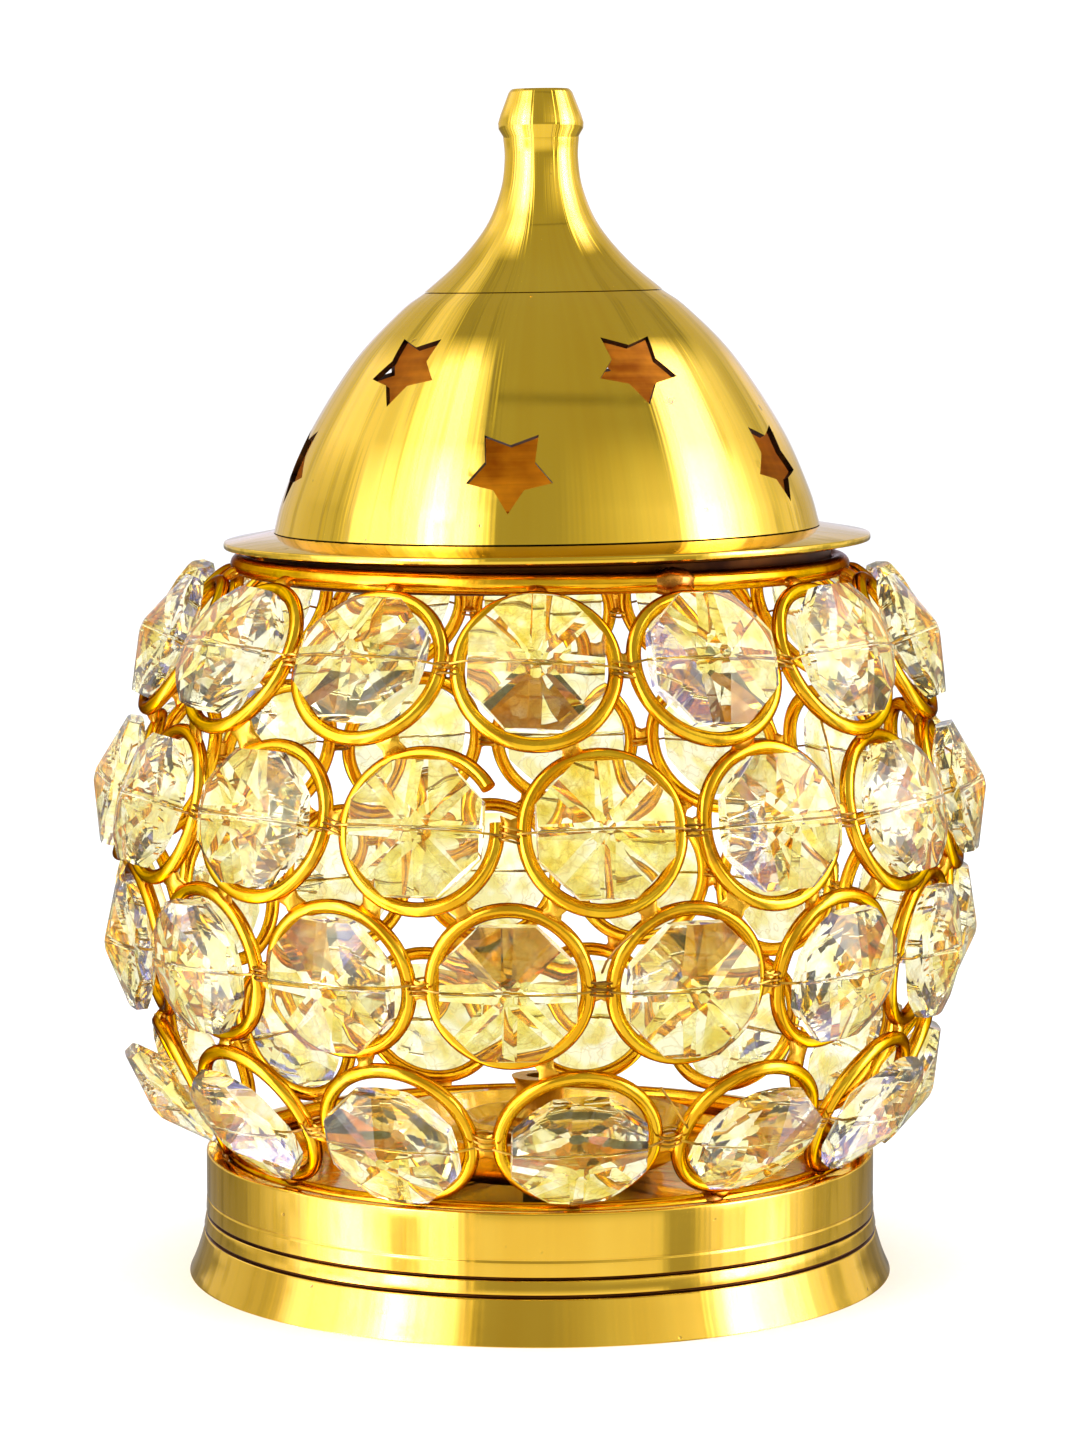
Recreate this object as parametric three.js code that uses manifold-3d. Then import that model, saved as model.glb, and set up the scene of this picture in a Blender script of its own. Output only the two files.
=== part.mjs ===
// Crystal incense burner: a turned brass base with a screwed-in dish, a lift-out holder for a stick
// or cone, a lift-off cage of soldered wire rings with octagonal crystal beads, and a domed lid.
// Units are millimetres, +Z is up, and the origin is the middle of the face it stands on.
// Azimuth 0 is the front (-Y), and azimuths grow towards +X.

import * as THREE from 'three';
import { mergeVertices } from 'three/addons/utils/BufferGeometryUtils.js';
import Module from 'manifold-3d';

const wasm = await Module();
wasm.setup();

// ---------------------------------------------------------------- driving dimensions

const GAP = 0.3;                // clearance between neighbouring pieces

const BASE_FOOT_R = 38.1;       // flared foot of the base
const BASE_RIM_R = 36.15;       // straight upper part of the base
const BASE_HEIGHT = 13.4;
const BASE_RIM_WALL = 1.7;
const BASE_LEDGE_Z = 11.8;      // ledge inside the rim that carries the cage
const BASE_DECK_Z = 10.7;       // flat deck inside the ledge
const BASE_DECK_R = 31;
const BASE_DECK_THICKNESS = 1.5;
const BASE_GROOVES = [4.8, 6.6];
const BASE_GROOVE_DEPTH = 0.4;
const BASE_GROOVE_HALF_WIDTH = 0.35;
const SCREW_HOLE_R = 2.3;

const CUP_RIM_R = 17;           // shallow dish that stays lower than the cage's first gaps
const CUP_RIM_Z = 16.4;
const CUP_FOOT_R = 11.5;
const CUP_WALL = 1.1;
const CUP_FLOOR_THICKNESS = 1.2;
const CUP_BOSS_R = 5;           // boss in the dish's middle that takes the screw
const CUP_BOSS_Z = 14.2;
const SCREW_R = 1.8;
const SCREW_HEAD_R = 3.6;
const SCREW_HEAD_HEIGHT = 2;
const WASHER_R = 5.4;
const WASHER_THICKNESS = 0.9;

const TRAY_R = 9;
const TRAY_THICKNESS = 1;
const TUBE_R = 2.6;
const TUBE_BORE_R = 1.5;
const TUBE_HEIGHT = 6.4;

const RING_R = 7.8;             // centre line of a wire ring
const RING_WIRE_R = 0.7;
const SOLDER_R = 0.75;
const CRYSTAL_R = 7.2;          // to the corners of the octagon
const CRYSTAL_HALF_THICKNESS = 3.1;
const CRYSTAL_GIRDLE_HALF = 0.8;
const CRYSTAL_OFFSET = 2;       // how far a crystal stands outside its ring's plane
const LACING_WIRE_R = 0.25;
const CRYSTALS_PER_LENGTH = 3;  // crystals threaded on one length of lacing wire
const RING_FACETS = 12;
const WIRE_FACETS = 4;
const ROUND_FACETS = 40;        // facets round the wide turned pieces
const SMALL_FACETS = 20;        // facets round the narrow ones

// One entry for each row of rings, from the top: the number of rings, the radius and height of
// their centres, how far they lean back from upright, and the azimuth of the first one.
const RING_ROWS = [
  { count: 14, radius: 38.5, height: 68.5, lean: 30, phase: -0.5 },
  { count: 15, radius: 43.0, height: 52.9, lean: 15, phase: 8.2 },
  { count: 15, radius: 42.4, height: 37.55, lean: -10, phase: -4 },
  { count: 13, radius: 37.9, height: 21.45, lean: -29, phase: -22 },
];

const TOP_HOOP_R = 32.05;
const TOP_HOOP_Z = 76.7;
const TOP_HOOP_WIRE_R = 1.1;
const BOTTOM_HOOP_R = 33;
const BOTTOM_HOOP_WIRE_R = 0.9;
const BOTTOM_HOOP_Z = BASE_LEDGE_Z + GAP + BOTTOM_HOOP_WIRE_R;

const FLANGE_R = 34.6;
const FLANGE_EDGE_Z = 78.6;
const FLANGE_THICKNESS = 0.7;
const FLANGE_DROP = 1.1;        // how much lower the flange's edge is than its root
const SEAT_R = 32.4;
const SEAT_INNER_R = 28.2;
const COLLAR_R = 30.4;
const COLLAR_WALL = 0.9;
const COLLAR_DEPTH = 3;
const DOME_FOOT_R = 29.1;
const DOME_FOOT_Z = 80.6;
const DOME_WALL = 0.7;
const SEAM_R = 12.7;            // where the chimney finial is seated on the dome
const SEAM_Z = 105.3;
const STAR_R = 4.75;
const STAR_WAIST = 0.57;        // inner corners of a star, as a share of its outer radius
const STARS_PER_ROW = 5;
const STAR_ROWS = [             // height of the stars' middles and the azimuth of the first one
  { height: 87.5, phase: -8 },
  { height: 97.6, phase: 27.4 },
];
const FINIAL_TOP_Z = 126.7;
const FINIAL_WALL = 0.9;
const FINIAL_BORE_R = 2.1;

// ---------------------------------------------------------------- helpers

const rad = THREE.MathUtils.degToRad;
const point = (r, z) => new THREE.Vector2(r, z);

// A body of revolution about Z from a closed outline of (radius, height) points.
function turned(outline, segments) {
  const geometry = new THREE.LatheGeometry(outline, segments);
  geometry.rotateX(Math.PI / 2);
  return geometry;
}

// A hollow outline closed on itself: the outside upwards, then the inside downwards.
function closedOutline(outside, inside) {
  return [...outside, ...inside, outside[0].clone()];
}

function toSolid(geometry) {
  const bare = geometry.clone();
  bare.deleteAttribute('normal');
  bare.deleteAttribute('uv');
  const merged = mergeVertices(bare);
  return new wasm.Manifold(new wasm.Mesh({
    numProp: 3,
    vertProperties: new Float32Array(merged.attributes.position.array),
    triVerts: new Uint32Array(merged.index.array),
  }));
}

function toGeometry(solid) {
  const result = solid.getMesh();
  const geometry = new THREE.BufferGeometry();
  geometry.setAttribute('position', new THREE.BufferAttribute(result.vertProperties, 3));
  geometry.setIndex(new THREE.BufferAttribute(result.triVerts, 1));
  return geometry;
}

function joined(geometries) {
  const solids = geometries.map(toSolid);
  return toGeometry(solids.reduce((sum, next) => sum.add(next)));
}

function finish(name, geometry, color, roughness, metalness = 1) {
  const shaded = geometry.index ? geometry.toNonIndexed() : geometry;
  shaded.computeVertexNormals();
  const material = new THREE.MeshStandardMaterial({ color, roughness, metalness });
  const mesh = new THREE.Mesh(shaded, material);
  mesh.name = name;
  return mesh;
}

const brass = (name, geometry) => finish(name, geometry, 0xd9b54a, 0.25);
const giltWire = (name, geometry) => finish(name, geometry, 0xe8b020, 0.3);
const steel = (name, geometry) => finish(name, geometry, 0xb8b8b4, 0.35);

// The frame of one ring or crystal: X runs round the row, Y up along it, and Z points outwards.
function placeOnRow(row, index, offset) {
  const azimuth = rad(row.phase + (index * 360) / row.count);
  const lean = rad(row.lean);
  const across = new THREE.Vector3(Math.cos(azimuth), Math.sin(azimuth), 0);
  const outward = new THREE.Vector3(
    Math.sin(azimuth) * Math.cos(lean),
    -Math.cos(azimuth) * Math.cos(lean),
    Math.sin(lean),
  );
  const up = new THREE.Vector3().crossVectors(outward, across);
  const centre = new THREE.Vector3(
    row.radius * Math.sin(azimuth),
    -row.radius * Math.cos(azimuth),
    row.height,
  );
  centre.addScaledVector(outward, offset);
  return new THREE.Matrix4().makeBasis(across, up, outward).setPosition(centre);
}

// ---------------------------------------------------------------- base and cup

function baseStand() {
  const grooves = BASE_GROOVES.flatMap((height) => {
    const r = baseOutsideRadius(height);
    return [
      point(r, height - BASE_GROOVE_HALF_WIDTH),
      point(r - BASE_GROOVE_DEPTH, height),
      point(r, height + BASE_GROOVE_HALF_WIDTH),
    ];
  });
  const outside = [
    point(BASE_FOOT_R, 0),
    point(baseOutsideRadius(2), 2),
    ...grooves,
    point(BASE_RIM_R, BASE_HEIGHT),
  ];
  const rimInner = BASE_RIM_R - BASE_RIM_WALL;
  const underside = BASE_DECK_Z - BASE_DECK_THICKNESS;
  const inside = [
    point(rimInner, BASE_HEIGHT),
    point(rimInner, BASE_LEDGE_Z),
    point(BASE_DECK_R, BASE_LEDGE_Z),
    point(BASE_DECK_R - 1, BASE_DECK_Z),
    point(SCREW_HOLE_R, BASE_DECK_Z),
    point(SCREW_HOLE_R, underside),
    point(rimInner - 2, underside),
    point(rimInner - 0.4, underside - 2),
    point(BASE_FOOT_R - 2.4, 0),
  ];
  return brass('base_stand', turned(closedOutline(outside, inside), ROUND_FACETS));
}

// The base is straight above its grooves and flares out towards its foot.
function baseOutsideRadius(height) {
  const flare = Math.max(0, 1 - height / 8);
  return BASE_RIM_R + (BASE_FOOT_R - BASE_RIM_R) * flare * flare;
}

function burnerCup() {
  const footZ = BASE_DECK_Z + GAP;
  const boreR = SCREW_R + GAP;
  const floorZ = footZ + CUP_FLOOR_THICKNESS;
  const bowl = new THREE.SplineCurve([
    point(CUP_FOOT_R, footZ),
    point(CUP_RIM_R - 1.8, footZ + 1.7),
    point(CUP_RIM_R, CUP_RIM_Z),
  ]).getPoints(4);
  const bowlInside = new THREE.SplineCurve([
    point(CUP_RIM_R - CUP_WALL, CUP_RIM_Z),
    point(CUP_RIM_R - 2.6, floorZ + 1.2),
    point(CUP_FOOT_R, floorZ),
  ]).getPoints(4);
  const outline = [
    point(0, CUP_BOSS_Z - 0.9),
    point(boreR, CUP_BOSS_Z - 0.9),
    point(boreR, footZ),
    ...bowl,
    ...bowlInside,
    point(CUP_BOSS_R + 0.6, floorZ),
    point(CUP_BOSS_R, CUP_BOSS_Z),
    point(0, CUP_BOSS_Z),
  ];
  return brass('burner_cup', turned(outline, 28));
}

function cupWasher() {
  const top = BASE_DECK_Z - BASE_DECK_THICKNESS - GAP;
  const outline = [
    point(WASHER_R, top - WASHER_THICKNESS),
    point(WASHER_R, top),
    point(SCREW_HOLE_R, top),
    point(SCREW_HOLE_R, top - WASHER_THICKNESS),
    point(WASHER_R, top - WASHER_THICKNESS),
  ];
  return steel('cup_washer', turned(outline, SMALL_FACETS));
}

function cupScrew() {
  const headTop = BASE_DECK_Z - BASE_DECK_THICKNESS - 2 * GAP - WASHER_THICKNESS;
  const headBottom = headTop - SCREW_HEAD_HEIGHT;
  const outline = [
    point(0, headBottom),
    point(SCREW_HEAD_R - 0.8, headBottom),
    point(SCREW_HEAD_R, headBottom + 0.8),
    point(SCREW_HEAD_R, headTop),
    point(SCREW_R, headTop),
    point(SCREW_R, CUP_BOSS_Z - 0.9 - GAP),
    point(0, CUP_BOSS_Z - 0.9 - GAP),
  ];
  const slot = new THREE.BoxGeometry(2 * SCREW_HEAD_R + 1, 0.9, 1.6);
  slot.translate(0, 0, headBottom);
  const slotted = toSolid(turned(outline, 16)).subtract(toSolid(slot));
  return steel('cup_screw', toGeometry(slotted));
}

// ---------------------------------------------------------------- incense holder

function holderTray() {
  const floor = CUP_BOSS_Z + GAP;
  const outline = [
    point(TRAY_R - 2, floor),
    point(TRAY_R, floor + 1.6),
    point(TRAY_R - 0.8, floor + 2.2),
    point(TRAY_R - 2.2, floor + TRAY_THICKNESS),
    point(TUBE_R + GAP, floor + TRAY_THICKNESS),
    point(TUBE_R + GAP, floor),
    point(TRAY_R - 2, floor),
  ];
  return brass('holder_tray', turned(outline, SMALL_FACETS));
}

function holderTube() {
  const floor = CUP_BOSS_Z + GAP;
  const shoulder = floor + TRAY_THICKNESS + GAP;
  const top = floor + TUBE_HEIGHT;
  const outline = [
    point(0, floor),
    point(TUBE_R, floor),
    point(TUBE_R, shoulder),
    point(TUBE_R + 1.2, shoulder),
    point(TUBE_R + 1.2, shoulder + 1),
    point(TUBE_R, shoulder + 1.8),
    point(TUBE_R, top - 1),
    point(TUBE_R + 0.5, top),
    point(TUBE_BORE_R, top),
    point(TUBE_BORE_R, floor + 2),
    point(0, floor + 2),
  ];
  return brass('holder_tube', turned(outline, 16));
}

// ---------------------------------------------------------------- cage

function hoop(name, radius, wireRadius, height) {
  const geometry = new THREE.TorusGeometry(radius, wireRadius, WIRE_FACETS + 1, ROUND_FACETS);
  geometry.translate(0, 0, height);
  return giltWire(name, geometry);
}

// The solder that fills the gap between two neighbouring rings of a row.
function solderBead(row, index) {
  const halfPitch = Math.PI / row.count;
  const reach = RING_R + RING_WIRE_R;
  const gap = 2 * (row.radius * Math.sin(halfPitch) - reach * Math.cos(halfPitch));
  const bead = new THREE.CylinderGeometry(SOLDER_R, SOLDER_R, gap + RING_WIRE_R, WIRE_FACETS);
  const azimuth = rad(row.phase) + (2 * index + 1) * halfPitch;
  const distance = row.radius * Math.cos(halfPitch) + reach * Math.sin(halfPitch);
  bead.rotateZ(Math.PI / 2);
  bead.rotateZ(azimuth);
  bead.translate(distance * Math.sin(azimuth), -distance * Math.cos(azimuth), row.height);
  return bead;
}

function ringRow(row, number) {
  const pieces = [];
  for (let index = 0; index < row.count; index += 1) {
    const ring = new THREE.TorusGeometry(RING_R, RING_WIRE_R, WIRE_FACETS, RING_FACETS);
    ring.applyMatrix4(placeOnRow(row, index, 0));
    pieces.push(ring, solderBead(row, index));
  }
  return giltWire(`ring_row_${number}`, joined(pieces));
}

function crystalBead() {
  const outline = [
    point(0, -CRYSTAL_HALF_THICKNESS),
    point(CRYSTAL_R, -CRYSTAL_GIRDLE_HALF),
    point(CRYSTAL_R, CRYSTAL_GIRDLE_HALF),
    point(0, CRYSTAL_HALF_THICKNESS),
  ];
  const bead = turned(outline, 8);
  bead.rotateZ(Math.PI / 8);
  return bead;
}

// Crystals first..last of a row, threaded on one length of lacing wire. The wire runs on a little
// past each bend, and stops short of the next length's end.
function crystalLength(row, rowNumber, first, last, lengthNumber) {
  const halfPitch = Math.PI / row.count;
  const wireRowRadius = row.radius + CRYSTAL_OFFSET * Math.cos(rad(row.lean));
  const span = 2 * wireRowRadius * Math.tan(halfPitch);
  const pieces = [];
  for (let index = first; index <= last; index += 1) {
    const startGap = index === first ? GAP : -LACING_WIRE_R;
    const endGap = index === last ? GAP : -LACING_WIRE_R;
    const wire = new THREE.BoxGeometry(span - startGap - endGap, 2 * LACING_WIRE_R, 2 * LACING_WIRE_R);
    wire.translate((startGap - endGap) / 2, 0, 0);
    const place = placeOnRow(row, index, CRYSTAL_OFFSET);
    pieces.push(crystalBead().applyMatrix4(place), wire.applyMatrix4(place));
  }
  const name = `crystals_row_${rowNumber}_${lengthNumber}`;
  return finish(name, joined(pieces), 0xf4efe0, 0.05, 0);
}

function crystalRow(row, rowNumber) {
  const lengths = Math.ceil(row.count / CRYSTALS_PER_LENGTH);
  const meshes = [];
  for (let length = 0; length < lengths; length += 1) {
    const first = Math.round((length * row.count) / lengths);
    const last = Math.round(((length + 1) * row.count) / lengths) - 1;
    meshes.push(crystalLength(row, rowNumber, first, last, length + 1));
  }
  return meshes;
}

// ---------------------------------------------------------------- lid

function lidFlange() {
  const rootZ = FLANGE_EDGE_Z + FLANGE_DROP;
  const seatZ = TOP_HOOP_Z + TOP_HOOP_WIRE_R + GAP;
  const outside = [
    point(COLLAR_R - COLLAR_WALL, seatZ - COLLAR_DEPTH),
    point(COLLAR_R, seatZ - COLLAR_DEPTH),
    point(COLLAR_R, seatZ),
    point(SEAT_R, seatZ),
    point(SEAT_R + 0.3, FLANGE_EDGE_Z),
    point(FLANGE_R, FLANGE_EDGE_Z - 0.1),
    point(FLANGE_R, FLANGE_EDGE_Z + FLANGE_THICKNESS - 0.1),
    point(DOME_FOOT_R, rootZ + FLANGE_THICKNESS - GAP),
    point(SEAT_INNER_R, rootZ + FLANGE_THICKNESS - GAP),
    point(SEAT_INNER_R, seatZ + 0.6),
    point(COLLAR_R - COLLAR_WALL, seatZ),
    point(COLLAR_R - COLLAR_WALL, seatZ - COLLAR_DEPTH),
  ];
  return brass('lid_flange', turned(outside, ROUND_FACETS));
}

// The dome's outside, from its foot up to the seam of the finial.
function domeCurve(shrink) {
  return new THREE.SplineCurve([
    point(DOME_FOOT_R - shrink, DOME_FOOT_Z),
    point(28.1 - shrink, 84),
    point(25.2 - shrink, 90.6),
    point(20.2 - 0.95 * shrink, 98.3 - 0.3 * shrink),
    point(15.3 - 0.8 * shrink, 103.4 - 0.7 * shrink),
    point(SEAM_R - 0.7 * shrink, SEAM_Z - 0.1 * shrink),
  ]);
}

function domeRadiusAt(height) {
  const points = domeCurve(0).getPoints(200);
  return points.find((p) => p.y >= height).x;
}

function domeSlopeAt(height) {
  return Math.atan2(domeRadiusAt(height - 1) - domeRadiusAt(height + 1), 2);
}

function starPrism(height, azimuth) {
  const outline = new THREE.Shape();
  for (let corner = 0; corner < 10; corner += 1) {
    const radius = corner % 2 === 0 ? STAR_R : STAR_R * STAR_WAIST;
    const turn = -Math.PI / 2 + (corner * Math.PI) / 5;
    const x = radius * Math.cos(turn);
    const y = radius * Math.sin(turn);
    if (corner === 0) {
      outline.moveTo(x, y);
    } else {
      outline.lineTo(x, y);
    }
  }
  const prism = new THREE.ExtrudeGeometry(outline, { depth: 8, bevelEnabled: false });
  prism.translate(0, 0, -4);
  const place = {
    count: 1,
    radius: domeRadiusAt(height),
    height,
    lean: THREE.MathUtils.radToDeg(domeSlopeAt(height)),
    phase: azimuth,
  };
  return prism.applyMatrix4(placeOnRow(place, 0, 0));
}

function lidDome() {
  const outside = domeCurve(0).getPoints(7);
  const inside = domeCurve(DOME_WALL).getPoints(7).reverse();
  let shell = toSolid(turned(closedOutline(outside, inside), ROUND_FACETS));
  for (const { height, phase } of STAR_ROWS) {
    for (let index = 0; index < STARS_PER_ROW; index += 1) {
      const star = starPrism(height, phase + (index * 360) / STARS_PER_ROW);
      shell = shell.subtract(toSolid(star));
    }
  }
  return brass('lid_dome', toGeometry(shell));
}

function lidFinial() {
  const bell = new THREE.SplineCurve([
    point(SEAM_R, SEAM_Z + GAP),
    point(9.1, 108.5),
    point(6, 112.3),
    point(4.4, 116.1),
    point(3.93, 119.3),
    point(4.05, 121.7),
  ]).getPoints(8);
  const tip = [
    point(4.52, 122.5),
    point(4.56, 123.1),
    point(3.4, 126.3),
    point(3.1, FINIAL_TOP_Z),
  ];
  const inside = new THREE.SplineCurve([
    point(FINIAL_BORE_R, FINIAL_TOP_Z),
    point(FINIAL_BORE_R + 0.4, 121),
    point(4.4 - FINIAL_WALL, 115.8),
    point(6.1 - FINIAL_WALL, 111.6),
    point(9.1 - 0.8 * FINIAL_WALL, 107.8),
    point(SEAM_R - 1.4, SEAM_Z + GAP),
  ]).getPoints(6);
  return brass('lid_finial', turned(closedOutline([...bell, ...tip], inside), 24));
}

// ---------------------------------------------------------------- assembly

const burner = new THREE.Group();
burner.name = 'incense_burner';

burner.add(
  baseStand(),
  burnerCup(),
  cupWasher(),
  cupScrew(),
  holderTray(),
  holderTube(),
  hoop('cage_bottom_hoop', BOTTOM_HOOP_R, BOTTOM_HOOP_WIRE_R, BOTTOM_HOOP_Z),
  hoop('cage_top_hoop', TOP_HOOP_R, TOP_HOOP_WIRE_R, TOP_HOOP_Z),
);
RING_ROWS.forEach((row, index) => {
  burner.add(ringRow(row, index + 1), ...crystalRow(row, index + 1));
});
burner.add(lidFlange(), lidDome(), lidFinial());

export default burner;
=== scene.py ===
"""The looks of a brass and crystal incense burner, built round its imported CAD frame."""
import math
from random import Random

import bmesh
import bpy
from mathutils import Matrix, Vector
from mathutils.geometry import delaunay_2d_cdt


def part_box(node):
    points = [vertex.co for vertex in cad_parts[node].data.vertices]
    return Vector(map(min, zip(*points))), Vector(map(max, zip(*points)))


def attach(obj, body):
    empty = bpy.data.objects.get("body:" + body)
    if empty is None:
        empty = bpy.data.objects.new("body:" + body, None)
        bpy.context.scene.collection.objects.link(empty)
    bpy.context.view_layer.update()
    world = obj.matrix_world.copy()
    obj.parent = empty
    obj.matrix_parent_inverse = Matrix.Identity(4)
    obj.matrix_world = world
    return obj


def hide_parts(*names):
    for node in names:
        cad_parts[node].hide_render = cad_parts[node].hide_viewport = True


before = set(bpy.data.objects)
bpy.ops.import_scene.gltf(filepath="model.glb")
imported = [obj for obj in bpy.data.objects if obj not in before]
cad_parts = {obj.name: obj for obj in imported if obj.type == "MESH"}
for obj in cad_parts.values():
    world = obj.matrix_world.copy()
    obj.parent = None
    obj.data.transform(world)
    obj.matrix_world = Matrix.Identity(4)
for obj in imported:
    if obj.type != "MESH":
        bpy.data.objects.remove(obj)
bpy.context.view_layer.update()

MM = 0.001
TAU = 2 * math.pi

# ---- driving dimensions, in mm

BASE_WALL_R = 36.15         # outside of the base above its flare
BASE_WALL = 1.7
BASE_FLARE_TOP = 8          # height where the flare meets the upright wall
BASE_LEDGE = 11.8           # height of the ledge that the cage's bottom hoop stands on
BASE_FLOOR = 10.7           # top of the floor inside
BASE_UNDERSIDE = 9.2
SCREW_HOLE_R = 2.3
# The grooves turned in the base: height, depth and half of the width.
BASE_GROOVES = [(4.8, 0.42, 0.22), (6.6, 0.38, 0.19), (8.5, 0.10, 0.2)]

CUP_FLOOR = 1.2             # thickness of the dish's floor
CUP_FLOOR_R = 11.5
CUP_BOSS_TOP = 14.2
CUP_BOSS_R = 5

RING_R = 7.8                # centre line of a wire ring
RING_WIRE_R = 0.78
CRYSTAL_R = 7.35            # to the corners of the octagon
CRYSTAL_GIRDLE = 0.6        # half of the thickness of its upright edge
CRYSTAL_SLOPE = 0.36        # how steeply the facets rise to the middle
CRYSTAL_OFFSET = 2.0        # how far a crystal stands outside its ring
CRYSTAL_BORE_R = 0.17
LACING_R = 0.13

# The rows of rings from the top: how many, the radius and height of their centres, how far they
# lean back, the azimuth of the first (0 is the front, growing to the right), and how far the
# crystals are turned about their wire, on average and at random.
ROWS = [
    dict(count=14, radius=38.5, height=68.5, lean=30, phase=-0.5, turn=4, spread=10, seed=3),
    dict(count=15, radius=43.0, height=52.9, lean=15, phase=8.2, turn=0, spread=5, seed=5),
    dict(count=15, radius=42.4, height=37.55, lean=-10, phase=-4, turn=-3, spread=5, seed=8),
    dict(count=13, radius=37.9, height=21.45, lean=-29, phase=-22, turn=6, spread=10, seed=2),
]
OPEN_RING = (1, 14)         # row and index of the ring whose joint has sprung open

RING_STEPS = 96             # points along a ring when the nearest ones of two rings are looked for
SOLDER_GAP = 3.6            # solder bridges wires whose centre lines are closer than this
NEIGHBOUR_GAP = 5.5         # rings of two rows further apart than this aren't compared closely

BRIM_EDGE = 78.6            # height of the underside of the brim's edge
BRIM_R = 34.6
SEAT_DEPTH = 3              # how far the collar reaches down into the hoop
SEAT_R = 32.4

# The rows of stars punched in the dome: height of their middles and azimuth of the first.
STARS_PER_ROW = 5
STAR_ROWS = [(87.5, -8), (97.6, 27.4)]
STAR_R = 4.75
STAR_WAIST = 0.57           # inner corners of a star, as a share of its outer radius
DOME_WALL = 0.6
DOME_SEAM = math.radians(45)    # azimuth where the dome's sheet closes, clear of every star
DOME_TOP_R = 12.7
SHEET_SCALE = 25.0          # mm of flat sheet to a radian, so that its triangles come out even

LID_LEAN = math.radians(-0.85)   # the loose lid sits a little askew on its hoop
LID_SHIFT = Vector((0.8, 0, 0.3)) * MM

# The camera, in metres and degrees.
CAMERA_PLACE = (0, -0.4863, 0.1105)
CAMERA_DOWN = 5.97
CAMERA_LENS = 113.55


def top_of(node):
    """The height of a CAD node's top, in mm."""
    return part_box(node)[1].z / MM


def foot_of(node):
    """The height of its lowest point."""
    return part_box(node)[0].z / MM


def radius_of(node):
    """The radius of a round one."""
    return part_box(node)[1].y / MM


# ---- node trees


class Value:
    """A number that varies over a surface or along a row. Arithmetic on it adds Math nodes."""

    def __init__(self, tree, socket):
        self.tree = tree
        self.socket = socket

    def __add__(self, other):
        return self.tree.math("ADD", self, other)

    def __radd__(self, other):
        return self.tree.math("ADD", other, self)

    def __sub__(self, other):
        return self.tree.math("SUBTRACT", self, other)

    def __rsub__(self, other):
        return self.tree.math("SUBTRACT", other, self)

    def __mul__(self, other):
        return self.tree.math("MULTIPLY", self, other)

    def __rmul__(self, other):
        return self.tree.math("MULTIPLY", other, self)

    def __truediv__(self, other):
        return self.tree.math("DIVIDE", self, other)

    def __rtruediv__(self, other):
        return self.tree.math("DIVIDE", other, self)


class Tree:
    """A node tree, for a material or for geometry."""

    def __init__(self, tree):
        self.tree = tree

    def node(self, kind, settings=None, inputs=None, output=0):
        """Adds one node: its settings first, then the values or links of its sockets."""
        made = self.tree.nodes.new(kind)
        for name, value in (settings or {}).items():
            if name == "stops":
                self._set_stops(made.color_ramp, value)
            else:
                setattr(made, name, value)
        for name, value in (inputs or {}).items():
            socket = made.inputs[name]
            if isinstance(value, Value):
                self.tree.links.new(value.socket, socket)
            else:
                socket.default_value = value
        return Value(self, made.outputs[output]) if made.outputs else made

    def _set_stops(self, ramp, stops):
        while len(ramp.elements) < len(stops):
            ramp.elements.new(0.5)
        for element, (position, colour) in zip(ramp.elements, stops):
            element.position = position
            element.color = colour

    def math(self, operation, first, second=0.0):
        return self.node("ShaderNodeMath", {"operation": operation}, {0: first, 1: second})

    def vector_math(self, operation, vector):
        return self.node("ShaderNodeVectorMath", {"operation": operation}, {0: vector})

    def vector(self, x, y, z):
        return self.node("ShaderNodeCombineXYZ", None, {"X": x, "Y": y, "Z": z})

    def split(self, vector):
        """The X, Y and Z of a vector."""
        x = self.node("ShaderNodeSeparateXYZ", None, {0: vector}, "X")
        return x, *(Value(self, x.socket.node.outputs[axis]) for axis in "YZ")

    def remap(self, value, low, high, to_low=0.0, to_high=1.0):
        """Stretches the range from low to high over another, and stops at its ends."""
        inputs = {"Value": value, "From Min": low, "From Max": high,
                  "To Min": to_low, "To Max": to_high}
        return self.node("ShaderNodeMapRange", {"clamp": True}, inputs)

    def mix_colour(self, share, first, second):
        """Blends two colours, each a link or (red, green, blue)."""
        first, second = (rgb(*c) if isinstance(c, tuple) else c for c in (first, second))
        inputs = {0: share, 6: first, 7: second}
        return self.node("ShaderNodeMix", {"data_type": "RGBA"}, inputs, 2)


# ---- materials


def rgb(red, green, blue):
    return (red, green, blue, 1.0)


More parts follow.
